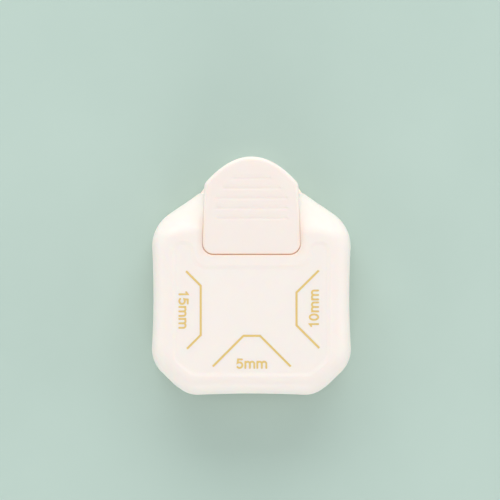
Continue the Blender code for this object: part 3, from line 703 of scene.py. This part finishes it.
def slab(name, points, low, high, top_rim=None, low_rim=None):
    """An upright prism over an outline; a rim is the (width, steps) of a rounded edge."""
    bm = bmesh.new()
    raised(bm, [bm.faces.new([bm.verts.new((p[0] * MM, p[1] * MM, low * MM)) for p in points])], low, high)
    bmesh.ops.recalc_face_normals(bm, faces=bm.faces)
    for rim, z in ((top_rim, high), (low_rim, low)):
        if rim:
            rounded(bm, [e for e in bm.edges if all(abs(v.co.z - z * MM) < 1e-7 for v in e.verts)], *rim)
    return mesh_object(name, bm)


def block(name, x, y, z, round_off=0.0):
    """A box from its (low, high) along each axis, with its edges rounded."""
    bm = bmesh.new()
    bmesh.ops.create_cube(bm, size=1.0)
    bmesh.ops.scale(bm, vec=Vector((x[1] - x[0], y[1] - y[0], z[1] - z[0])) * MM, verts=bm.verts)
    bmesh.ops.translate(bm, vec=Vector((x[0] + x[1], y[0] + y[1], z[0] + z[1])) / 2 * MM, verts=bm.verts)
    if round_off:
        rounded(bm, bm.edges[:], round_off, 3)
    return mesh_object(name, bm)


def rod(name, radius, start, end, segments=48):
    a, b = Vector(start), Vector(end)
    bm = bmesh.new()
    bmesh.ops.create_cone(
        bm, cap_ends=True, segments=segments, depth=(b - a).length * MM,
        radius1=radius * MM, radius2=radius * MM,
    )
    turn = Vector((0, 0, 1)).rotation_difference(b - a).to_matrix().to_4x4()
    bmesh.ops.transform(bm, matrix=Matrix.Translation((a + b) / 2 * MM) @ turn, verts=bm.verts)
    return mesh_object(name, bm)


def combined(target, steps):
    """The target after its Boolean steps, each an (operation, [objects]) pair, with the helpers removed."""
    helpers = []
    for operation, others in steps:
        for other in others:
            modifier = target.modifiers.new(other.name, "BOOLEAN")
            modifier.operation = operation
            modifier.solver = "EXACT"
            modifier.object = other
            helpers.append(other)
    bpy.context.view_layer.update()
    evaluated = target.evaluated_get(bpy.context.evaluated_depsgraph_get())
    result = bpy.data.meshes.new_from_object(evaluated)
    target.modifiers.clear()
    target.data = result
    for helper in helpers:
        bpy.data.objects.remove(helper)
    return smoothed(target, 35)


# ---- base, yoke and bulkhead

def screw_rods(name, places, radius, high, segments=24):
    return [rod(f"{name}_{i}", radius, (*p, 0), (*p, high), segments) for i, p in enumerate(places)]


def build_base():
    """The lower shell and the tongue under the lever, hollow as the frame's is."""
    base = slab("case_base", traced(deck_corners(), 5, 6.0), BASE_LOW, DECK_HIGH, (0.5, 3), (1.2, 4))
    outline = offset(traced(tongue_corners(), 6, 4.0), 0.02)
    tongue = slab("tongue", outline, BASE_LOW + 0.1, TONGUE_HIGH, (0.8, 3), (1.1, 4))
    plate_seat = slab("plate_seat", offset(traced(plate_corners(), 6, 6.0), WALL), -2.0, INSIDE_LOW)
    inside = slab("base_hollow", offset(traced(cover_corners(), 8, 8.0), WALL + 0.8), 2.0, DECK_HIGH - WALL)
    solids = [block("die_seat", (-29.5, 27.5), (-36.5, 7.5), (0.0, DECK_HIGH))]
    solids += screw_rods("base_boss", CASE_SCREWS, BOSS_RADIUS, DECK_HIGH, 48)
    combined(inside, [("DIFFERENCE", solids)])
    rear = offset(traced(base_corners(), 8, 6.0), WALL + 0.6)
    under = slab("tongue_hollow", rear[rear[:, 1] > 31.5], 2.2, TONGUE_HIGH - WALL)
    cuts = [
        block("die_recess", (-27.1, 25.1), (-34.1, 5.1), (DECK_HIGH - 2.1, DECK_HIGH + 2)),
        block("chip_chamber", (-23.5, 21.5), (-27.5, -0.8), (-2, DECK_HIGH + 2)),
        block("door_way", (-25.2, 25.2), (-60, -45), (-2, INSIDE_LOW)),
    ]
    cuts += screw_rods("base_hole", CASE_SCREWS, CASE_SCREW_HOLE, DECK_HIGH + 2)
    cuts += screw_rods("seat_hole", PLATE_SCREWS, PLATE_SCREW_HOLE, DECK_HIGH)
    cuts += screw_rods("seat_bore", PLATE_SCREWS, PLATE_SCREW_BORE, PLATE_SCREW_SEAT)
    return combined(base, [("UNION", [tongue]), ("DIFFERENCE", [plate_seat, inside, under, *cuts])])


def cross_slab(name, profile, x_low, x_high):
    """A (y, z) profile with thickness across the case, its two faces' rims rounded."""
    obj = slab(name, profile, x_low, x_high, (0.3, 2), (0.3, 2))
    turn = Matrix(((0, 0, 1, 0), (1, 0, 0, 0), (0, 1, 0, 0), (0, 0, 0, 1)))
    obj.data.transform(turn)
    return obj


def build_yoke():
    """The lever's hidden part: two arms to the pin, a web and neck under the tongue, and the press bar."""
    eye = []
    for i in range(25):
        a = math.radians(90 + 180 * i / 24)
        eye.append((PIVOT_Y + EYE_RADIUS * math.cos(a), PIVOT_Z + EYE_RADIUS * math.sin(a)))
    arm = eye + [(0.0, 29.0), (8.6, 31.0), (8.6, 37.3)]
    yoke = cross_slab("lever_yoke", arm, ARM_IN, ARM_OUT)
    others = [
        cross_slab("yoke_arm", arm, -ARM_OUT, -ARM_IN),
        block("yoke_web", (-ARM_IN - 1, ARM_IN + 1), (5.2, 8.3), (34.0, 37.0), 0.4),
        block("yoke_neck", (-19.8, 19.8), (7.0, 11.0), (34.2, 36.8), 0.3),
        block("yoke_bar", (-ARM_IN - 1, ARM_IN + 1), (PRESS_Y - 2.5, PRESS_Y + 2.5), (34.0, 36.0), 0.4),
        rod("press_nose", 2.0, (-8, PRESS_Y, 35.55), (8, PRESS_Y, 35.55)),
    ]
    hole = rod("yoke_pin_hole", PIN_HOLE, (-30, PIVOT_Y, PIVOT_Z), (30, PIVOT_Y, PIVOT_Z), 32)
    return combined(yoke, [("UNION", others), ("DIFFERENCE", [hole])])


def build_bulkhead():
    """The wall behind the lever's well, standing on the cover's rear sill."""
    wall = block("rear_bulkhead", (-17.3, 17.3), (33.6, 35.6), (COVER_LOW, BULKHEAD_HIGH), 0.4)
    sill_x = (-NOTCH_HALF - 0.5, NOTCH_HALF + 0.5)
    sill = block("rear_sill", sill_x, (33.7, 35.5), (COVER_LOW + 0.05, COVER_LOW + 0.45))
    return combined(wall, [("UNION", [sill])])


# ---- springs

SPRING_RADIUS = 3.1
SPRING_WIRE = 0.35


def spring_path(low, high, y):
    """The wire's middle line: a dead turn at each end, lying on itself, and open turns between them."""
    turns, dead, per_turn = 6.5, 1.0, 28
    points = []
    count = int(turns * per_turn)
    rise = 2 * SPRING_WIRE * 1.04
    for i in range(count + 1):
        turn = turns * i / count
        if turn < dead:
            z = low + rise * turn
        elif turn > turns - dead:
            z = high - rise * (turns - turn)
        else:
            share = (turn - dead) / (turns - 2 * dead)
            z = low + rise * dead + share * (high - low - 2 * rise * dead)
        a = 2 * math.pi * turn
        points.append(Vector((SPRING_RADIUS * math.cos(a), y + SPRING_RADIUS * math.sin(a), z)))
    return points


def swept(name, path, radius, sides=10):
    """A round wire along a path, closed at both ends."""
    bm = bmesh.new()
    rings = []
    for i, p in enumerate(path):
        way = (path[min(i + 1, len(path) - 1)] - path[max(i - 1, 0)]).normalized()
        across = way.cross(Vector((0, 0, 1))).normalized()
        over = across.cross(way)
        ring = []
        for k in range(sides):
            a = 2 * math.pi * k / sides
            ring.append(bm.verts.new((p + (across * math.cos(a) + over * math.sin(a)) * radius) * MM))
        rings.append(ring)
    for a, b in zip(rings, rings[1:]):
        for k in range(sides):
            j = (k + 1) % sides
            bm.faces.new((a[k], a[j], b[j], b[k]))
    bm.faces.new(rings[0])
    bm.faces.new(reversed(rings[-1]))
    return smoothed(mesh_object(name, bm), 50)


def build_spring(end):
    """A return spring in its two seats, built at its length in the frame and fixed to the body, so it doesn't
    shorten as the carrier comes down.
    """
    node = f"return_spring_{end}"
    low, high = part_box(node)
    y = (low[1] + high[1]) / 2 / MM
    foot, head = low[2] / MM, high[2] / MM
    spring = swept(f"coil_{end}", spring_path(foot + SPRING_WIRE, head - SPRING_WIRE, y), SPRING_WIRE)
    dress(spring, wire_steel)
    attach(spring, "body")
    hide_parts(node)
    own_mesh(spring)


# ---- printed marks

PRINT_LOW = COVER_TOP - PANEL_DEPTH - 0.02
PRINT_HIGH = COVER_TOP - PANEL_DEPTH + 0.03
LINE_HALF = 0.46
DIGIT_HALF = 0.41
LETTER_STEP = 2 * DIGIT_HALF + 0.48
CAP_HIGH = 3.65
X_HIGH = 2.7
MARKS = {
    "size_mark_15": {
        "line": [(-28.1, 2.1), (-21.8, -4.2), (-21.8, -25.4), (-27.7, -31.3)],
        "text": "15mm", "centre": (-29.2, -14.6), "turn": -90,
    },
    "size_mark_10": {
        "line": [(29.0, 2.4), (19.4, -7.1), (19.4, -21.2), (29.2, -31.0)],
        "text": "10mm", "centre": (26.9, -13.9), "turn": 90,
    },
    "size_mark_5": {
        "line": [(-16.6, -38.9), (-3.4, -25.7), (3.7, -25.7), (16.9, -38.9)],
        "text": "5mm", "centre": (0.1, -37.7), "turn": 0,
    },
}


def arc_points(centre, rx, ry, start, end, steps=24):
    angles = np.radians(np.linspace(start, end, steps + 1))
    return [(centre[0] + rx * math.cos(a), centre[1] + ry * math.sin(a)) for a in angles]


def glyph(letter):
    """The strokes of a letter or digit, and how wide it is between stroke centres."""
    if letter == "5":
        bowl = arc_points((1.08, 1.2), 1.22, 1.2, 132, -140)
        return [[(2.15, CAP_HIGH), (0.42, CAP_HIGH), (0.27, 2.1)] + bowl], 2.3
    if letter == "1":
        return [[(0.0, 2.95), (0.9, CAP_HIGH), (0.9, 0.0)]], 1.45
    if letter == "0":
        return [arc_points((1.15, CAP_HIGH / 2), 1.15, CAP_HIGH / 2, 0, 360, 40)], 2.3
    arches = []
    for left in (0.0, 1.92):
        arch = arc_points((left + 0.96, X_HIGH - 0.92), 0.96, 0.92, 180, 0, 16)
        arches.append([(left, X_HIGH - 1.2)] + arch + [(left + 1.92, 0.0)])
    return [[(0.0, 0.0), (0.0, X_HIGH)]] + arches, 3.84


def text_strokes(text, centre, turn):
    """The strokes of a short word, centred on a point and turned."""
    strokes, pen = [], 0.0
    for letter in text:
        made, width = glyph(letter)
        strokes += [[(x + pen, y) for x, y in stroke] for stroke in made]
        pen += width + LETTER_STEP
    across = pen - LETTER_STEP
    spin = Matrix.Rotation(math.radians(turn), 2)
    out = []
    for stroke in strokes:
        moved = [spin @ Vector((x - across / 2, y - CAP_HIGH / 2)) + Vector(centre) for x, y in stroke]
        out.append([(p.x, p.y) for p in moved])
    return out


def ribbon(stroke, half, round_ends):
    """A closed outline round a stroke."""
    points = [Vector(p) for p in stroke]
    closed = (points[0] - points[-1]).length < 1e-6
    if closed:
        points = points[:-1]
    count = len(points)
    left, right = [], []
    for i, p in enumerate(points):
        before = points[i - 1] if closed or i else None
        after = points[(i + 1) % count] if closed or i < count - 1 else None
        ways = [(p - before).normalized()] if before else []
        ways += [(after - p).normalized()] if after else []
        normals = [Vector((-w.y, w.x)) for w in ways]
        normal = sum(normals, Vector((0, 0))).normalized()
        reach = half / max(normal.dot(normals[0]), 0.5)
        left.append(p + normal * reach)
        right.append(p - normal * reach)
    if closed:
        return [left, right]
    caps = []
    for end, before in ((points[-1], points[-2]), (points[0], points[1])):
        way = (end - before).normalized()
        side = Vector((-way.y, way.x))
        cap = []
        if round_ends:
            for k in range(1, 8):
                a = math.pi * k / 8
                cap.append(end + side * math.cos(a) * half + way * math.sin(a) * half)
        caps.append(cap)
    return [left + caps[0] + right[::-1] + caps[1]]


def build_mark(name, line, text, centre, turn):
    """A size mark: the chamfered corner line and the size beside it, as one thin film on the panel."""
    strokes = [(line, LINE_HALF, False)]
    strokes += [(stroke, DIGIT_HALF, True) for stroke in text_strokes(text, centre, turn)]
    points, edges = [], []
    for stroke, half, round_ends in strokes:
        for loop in ribbon(stroke, half, round_ends):
            first = len(points)
            points += loop
            edges += [(first + i, first + (i + 1) % len(loop)) for i in range(len(loop))]
    verts, _, faces, *_ = delaunay_2d_cdt(points, edges, [], 0, 1e-5)
    centres = np.array([np.mean([verts[i][:] for i in f], axis=0) for f in faces])
    inside = np.zeros(len(faces), bool)
    for stroke, half, _ in strokes:
        for a, b in zip(np.array(stroke), np.array(stroke)[1:]):
            along = b - a
            t = np.clip((centres - a) @ along / max(along @ along, 1e-12), 0, 1)
            inside |= np.hypot(*(centres - a - t[:, None] * along).T) < half
    bm = bmesh.new()
    corners = [bm.verts.new((v.x * MM, v.y * MM, PRINT_LOW * MM)) for v in verts]
    flat = [bm.faces.new([corners[i] for i in f]) for f, k in zip(faces, inside) if k]
    bmesh.ops.delete(bm, geom=[v for v in bm.verts if not v.link_faces], context="VERTS")
    raised(bm, flat, PRINT_LOW, PRINT_HIGH)
    return mesh_object(name, bm)


# ---- materials

def start_material(name):
    material = bpy.data.materials.new(name)
    material.use_nodes = True
    return material, material.node_tree, material.node_tree.nodes["Principled BSDF"]


def add_node(tree, kind, values=None, **settings):
    node = tree.nodes.new(kind)
    for key, value in settings.items():
        setattr(node, key, value)
    for key, value in (values or {}).items():
        node.inputs[key].default_value = value
    return node


def noise(tree, scale, detail=3.0, stretch=None):
    """A noise value in the piece's own space; the scale is in cycles for each metre."""
    place = add_node(tree, "ShaderNodeTexCoord").outputs["Object"]
    if stretch:
        mapping = add_node(tree, "ShaderNodeMapping", {"Scale": stretch})
        tree.links.new(place, mapping.inputs["Vector"])
        place = mapping.outputs["Vector"]
    made = add_node(tree, "ShaderNodeTexNoise", {"Scale": scale, "Detail": detail, "Roughness": 0.55})
    tree.links.new(place, made.inputs["Vector"])
    return made.outputs["Fac"]


def ranged(tree, value, low, high, from_low=0.3, from_high=0.7):
    made = add_node(
        tree, "ShaderNodeMapRange",
        {"From Min": from_low, "From Max": from_high, "To Min": low, "To Max": high},
    )
    tree.links.new(value, made.inputs["Value"])
    return made.outputs["Result"]


def mixed(tree, factor, first, second):
    """A mix of two colours; the first may be another node's output."""
    made = add_node(tree, "ShaderNodeMix", data_type="RGBA")
    if isinstance(first, bpy.types.NodeSocket):
        tree.links.new(first, made.inputs[6])
    else:
        made.inputs[6].default_value = (*first, 1)
    made.inputs[7].default_value = (*second, 1)
    tree.links.new(factor, made.inputs[0])
    return made.outputs[2]


def bumped(tree, shader, heights):
    """Joins bumps, each a (height, strength, distance), and puts them on the shader."""
    normal = None
    for height, strength, distance in heights:
        bump = add_node(tree, "ShaderNodeBump", {"Strength": strength, "Distance": distance})
        tree.links.new(height, bump.inputs["Height"])
        if normal:
            tree.links.new(normal, bump.inputs["Normal"])
        normal = bump.outputs["Normal"]
    tree.links.new(normal, shader.inputs["Normal"])


def plastic(name, colour, second, roughness=(0.36, 0.46), soft=0.3, grain=0.10, warm=None):
    """Moulded plastic: a faint drift in colour and gloss, the mould's grain, and a painted orange glow at the
    seam for light through the plastic.
    """
    material, tree, shader = start_material(name)
    drift = ranged(tree, noise(tree, 45.0, 2.0), 0.0, 1.0)
    tone = mixed(tree, drift, colour, second)
    if warm:
        # Painted glow: the seam's stored glow mixes orange into the colour, for light through the plastic
        marked = add_node(tree, "ShaderNodeAttribute", attribute_name="warm").outputs["Fac"]
        tone = mixed(tree, marked, tone, warm)
    tree.links.new(tone, shader.inputs["Base Color"])
    tree.links.new(ranged(tree, noise(tree, 420.0, 4.0), *roughness), shader.inputs["Roughness"])
    shader.inputs["IOR"].default_value = 1.5
    shader.inputs["Subsurface Weight"].default_value = soft
    shader.inputs["Subsurface Radius"].default_value = (1.0, 0.5, 0.28)
    shader.inputs["Subsurface Scale"].default_value = 0.0022
    bumped(tree, shader, [
        (noise(tree, 90.0, 2.0), 0.05, 0.0004),
        (noise(tree, 3600.0, 2.0), grain, 0.00003),
    ])
    return material


def steel(name, colour, second, roughness, stretch, anisotropy=0.3):
    """Ground or drawn steel: fine marks along the way it was worked, with cloudy gloss."""
    material, tree, shader = start_material(name)
    marks = noise(tree, 260.0, 5.0, stretch)
    tree.links.new(mixed(tree, ranged(tree, marks, 0.0, 1.0), colour, second), shader.inputs["Base Color"])
    shader.inputs["Metallic"].default_value = 1.0
    shader.inputs["Anisotropic"].default_value = anisotropy
    cloud = noise(tree, 160.0, 3.0)
    tree.links.new(ranged(tree, cloud, *roughness), shader.inputs["Roughness"])
    bumped(tree, shader, [(marks, 0.18, 0.00002), (noise(tree, 2400.0, 2.0), 0.06, 0.00002)])
    return material


def gold_film(name):
    """Gold-coloured printing: a warm metallic film with a fine, slightly uneven flake."""
    material, tree, shader = start_material(name)
    flake = ranged(tree, noise(tree, 2600.0, 3.0), 0.0, 1.0)
    tone = mixed(tree, flake, (0.85, 0.615, 0.205), (0.91, 0.68, 0.26))
    tree.links.new(tone, shader.inputs["Base Color"])
    shader.inputs["Metallic"].default_value = 0.35
    tree.links.new(ranged(tree, noise(tree, 900.0, 3.0), 0.34, 0.5), shader.inputs["Roughness"])
    bumped(tree, shader, [(noise(tree, 3000.0, 2.0), 0.12, 0.00002)])
    return material


def card(name):
    """The matt surface that the object stands on."""
    material, tree, shader = start_material(name)
    drift = ranged(tree, noise(tree, 14.0, 3.0), 0.0, 1.0)
    tone = mixed(tree, drift, (0.485, 0.620, 0.565), (0.503, 0.638, 0.583))
    tree.links.new(tone, shader.inputs["Base Color"])
    tree.links.new(ranged(tree, noise(tree, 300.0, 3.0), 0.85, 0.95), shader.inputs["Roughness"])
    shader.inputs["Specular IOR Level"].default_value = 0.2
    bumped(tree, shader, [(noise(tree, 1800.0, 3.0), 0.05, 0.00004)])
    return material


def shading_group():
    """Smooth shading up to 35 degrees, for the frame's faceted pieces."""
    group = bpy.data.node_groups.new("smooth_by_angle", "GeometryNodeTree")
    group.interface.new_socket("Geometry", in_out="INPUT", socket_type="NodeSocketGeometry")
    group.interface.new_socket("Geometry", in_out="OUTPUT", socket_type="NodeSocketGeometry")
    start, end = group.nodes.new("NodeGroupInput"), group.nodes.new("NodeGroupOutput")
    merge = add_node(group, "GeometryNodeMergeByDistance", {"Distance": 0.000001})
    angle = group.nodes.new("GeometryNodeInputMeshEdgeAngle")
    flat_enough = add_node(group, "FunctionNodeCompare", {1: math.radians(35)}, operation="LESS_THAN")
    faces = add_node(group, "GeometryNodeSetShadeSmooth", {"Shade Smooth": True}, domain="FACE")
    edges = add_node(group, "GeometryNodeSetShadeSmooth", domain="EDGE")
    group.links.new(start.outputs[0], merge.inputs["Geometry"])
    group.links.new(merge.outputs["Geometry"], faces.inputs["Geometry"])
    group.links.new(faces.outputs["Geometry"], edges.inputs["Geometry"])
    group.links.new(angle.outputs["Unsigned Angle"], flat_enough.inputs[0])
    group.links.new(flat_enough.outputs["Result"], edges.inputs["Shade Smooth"])
    group.links.new(edges.outputs["Geometry"], end.inputs[0])
    return group


def dress(obj, material):
    """Puts a material on a piece or on one of the frame's nodes."""
    if not obj.material_slots:
        obj.data.materials.append(material)
    for slot in obj.material_slots:
        slot.material = material


# ---- the object

# Painted glow: the orange painted into the plastic at the seam, for light through the plastic
PAINTED_SEAM_GLOW = (1.0, 0.46, 0.16)
cream = plastic("cream_abs", (0.915, 0.838, 0.795), (0.925, 0.850, 0.808), warm=PAINTED_SEAM_GLOW)
lever_cream = plastic("cream_abs_lever", (0.918, 0.836, 0.788), (0.928, 0.848, 0.802), warm=PAINTED_SEAM_GLOW)
base_cream = plastic("cream_abs_base", (0.90, 0.80, 0.735), (0.91, 0.815, 0.75))
under_cream = plastic("cream_abs_under", (0.88, 0.79, 0.73), (0.90, 0.81, 0.75), (0.42, 0.55), 0.08, 0.2)
pom = plastic("white_pom", (0.80, 0.80, 0.78), (0.83, 0.83, 0.81), (0.3, 0.4), 0.15, 0.06)
plate_steel = steel("plate_steel", (0.55, 0.55, 0.57), (0.63, 0.63, 0.65), (0.28, 0.42), (1.0, 14.0, 14.0))
tool_steel = steel("tool_steel", (0.58, 0.59, 0.61), (0.66, 0.67, 0.69), (0.16, 0.28), (14.0, 14.0, 1.0), 0.2)
wire_steel = steel("spring_steel", (0.40, 0.40, 0.42), (0.50, 0.50, 0.52), (0.25, 0.38), (6.0, 6.0, 6.0), 0.0)
zinc = steel("zinc_plate", (0.56, 0.57, 0.58), (0.66, 0.66, 0.64), (0.26, 0.42), (3.0, 3.0, 3.0), 0.0)
gold = gold_film("gold_print")

PIECES = (
    (build_cover, "body", "upper_cover", cream, ("upper_cover",)),
    (build_lever, "lever", "lever", lever_cream, ("lever",)),
    (build_yoke, "lever", "lever", lever_cream, ()),
    (build_bulkhead, "body", "upper_cover", cream, ()),
    (build_base, "body", "lower_body", base_cream, ("lower_body",)),
)
for build, body, slot, material, replaced in PIECES:
    piece = build()
    dress(piece, material)
    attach(piece, body)
    if replaced:
        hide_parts(*replaced)

for end in ("front", "rear"):
    build_spring(end)

for name, facts in MARKS.items():
    mark = build_mark(name, facts["line"], facts["text"], facts["centre"], facts["turn"])
    dress(mark, gold)
    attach(mark, "body")

NODE_LOOKS = (
    ("base_plate", under_cream),
    ("chip_door", under_cream),
    ("paper_guide", pom),
    ("inner_frame", pom),
    ("punch_carrier", pom),
    ("die_plate", plate_steel),
    ("stripper_plate", plate_steel),
    ("punch_screw", zinc),
    ("punch_r", tool_steel),
    ("guide_post", tool_steel),
    ("lever_pin", tool_steel),
    ("pin_ring", wire_steel),
    ("case_screw", zinc),
    ("plate_screw", zinc),
)
smoothing = shading_group()
for name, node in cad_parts.items():
    for start, material in NODE_LOOKS:
        if name.startswith(start):
            dress(node, material)
            node.modifiers.new("smooth", "NODES").node_group = smoothing
            break


# ---- floor, light and camera

def build_floor():
    bm = bmesh.new()
    bmesh.ops.create_grid(bm, x_segments=8, y_segments=8, size=2.0)
    floor = mesh_object("floor", bm)
    dress(floor, card("sage_card"))


def area_light(name, place, aim, size, power, colour):
    data = bpy.data.lights.new(name, "AREA")
    data.shape = "RECTANGLE"
    data.size, data.size_y = size
    data.energy = power
    data.color = colour
    light = bpy.data.objects.new(name, data)
    light.location = place
    light.rotation_mode = "QUATERNION"
    light.rotation_quaternion = (Vector(aim) - Vector(place)).to_track_quat("-Z", "Y")
    bpy.context.scene.collection.objects.link(light)


def light_scene():
    world = bpy.data.worlds.new("studio")
    bpy.context.scene.world = world
    world.use_nodes = True
    tree = world.node_tree
    background = tree.nodes["Background"]
    background.inputs["Color"].default_value = (1.0, 0.995, 0.985, 1)
    way = add_node(tree, "ShaderNodeTexCoord").outputs["Generated"]
    parts = add_node(tree, "ShaderNodeSeparateXYZ")
    tree.links.new(way, parts.inputs[0])
    tree.links.new(ranged(tree, parts.outputs["Z"], 1.11, 0.51, 0.0, 0.8), background.inputs["Strength"])
    area_light("key", (0.0, 2.5, 1.8), (0, 0, 0.02), (3.4, 2.2), 54.0, (1.0, 0.99, 0.98))
    area_light("front_fill", (0.0, -2.8, 1.05), (0, 0, 0.02), (2.4, 1.5), 25.0, (1.0, 0.985, 0.975))
    area_light("left_fill", (-2.7, 0.3, 1.25), (0, 0, 0.02), (1.5, 2.2), 8.5, (1.0, 1.0, 1.0))
    area_light("right_fill", (2.7, 0.3, 1.25), (0, 0, 0.02), (1.5, 2.2), 10.5, (1.0, 1.0, 1.0))


def build_camera():
    """Straight above and far off, framing 215 mm at the height of the top."""
    data = bpy.data.cameras.new("camera")
    data.sensor_width = 36.0
    height, frame_width = 2.0, 0.2150
    data.lens = data.sensor_width * (height - COVER_TOP * MM) / frame_width
    camera = bpy.data.objects.new("camera", data)
    camera.location = (-0.0006, 0.0112, height)
    bpy.context.scene.collection.objects.link(camera)
    bpy.context.scene.camera = camera


build_floor()
light_scene()
build_camera()
bpy.context.scene.view_settings.view_transform = "Standard"
